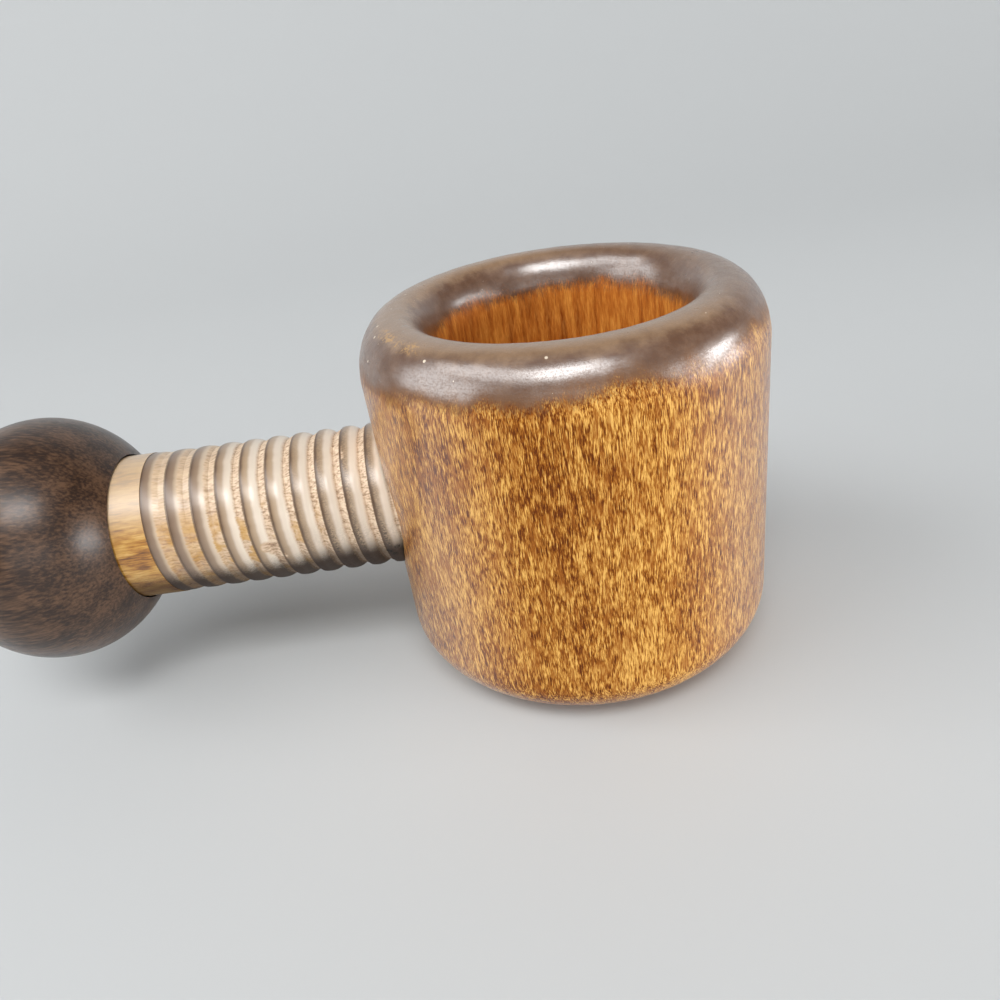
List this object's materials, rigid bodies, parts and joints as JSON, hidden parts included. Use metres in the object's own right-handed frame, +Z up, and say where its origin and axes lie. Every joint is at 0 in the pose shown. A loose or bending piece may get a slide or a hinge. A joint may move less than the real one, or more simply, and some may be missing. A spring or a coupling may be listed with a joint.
{
  "type": "screw nutcracker",
  "caption": "Turned wooden screw nutcracker: an upright bowl holds the nut, and a coarse wooden screw with a ball knob is wound in through its side.",
  "frame": {"origin": "centre of the bowl's flat base", "axes": "+Z up along the bowl's axis, -X along the screw's axis towards the knob, the screw's axis 32.4 mm above the base"},
  "size_m": [0.1448, 0.066, 0.0645],
  "materials": {
    "bowl_wood": "satin varnish over amber wood with short dark flecks, rim stained dark brown",
    "screw_wood": "worn pale turned wood with a darker glossy film in places",
    "knob_wood": "very dark brown stain, soft gloss",
    "dowel_wood": "bare"
  },
  "bodies": {
    "bowl": {"bowl": "bowl_wood"},
    "dowel": {"joining_dowel": "dowel_wood"},
    "screw_and_knob": {"screw": "screw_wood", "knob": "knob_wood"}
  },
  "joints": [
    {"name": "screw_travel", "type": "slide", "parent": "bowl", "child": "dowel", "axis": [1, 0, 0], "range_m": [-0.0081, 0.0361]},
    {"name": "screw_turn", "type": "hinge", "parent": "dowel", "child": "screw_and_knob", "pos_m": [0, 0, 0.0324], "axis": [1, 0, 0], "range_deg": [-680, 3060]}
  ],
  "couplings": [
    {"joint": "screw_travel", "follows": "screw_turn", "m_per_rad": 0.00067376}
  ]
}
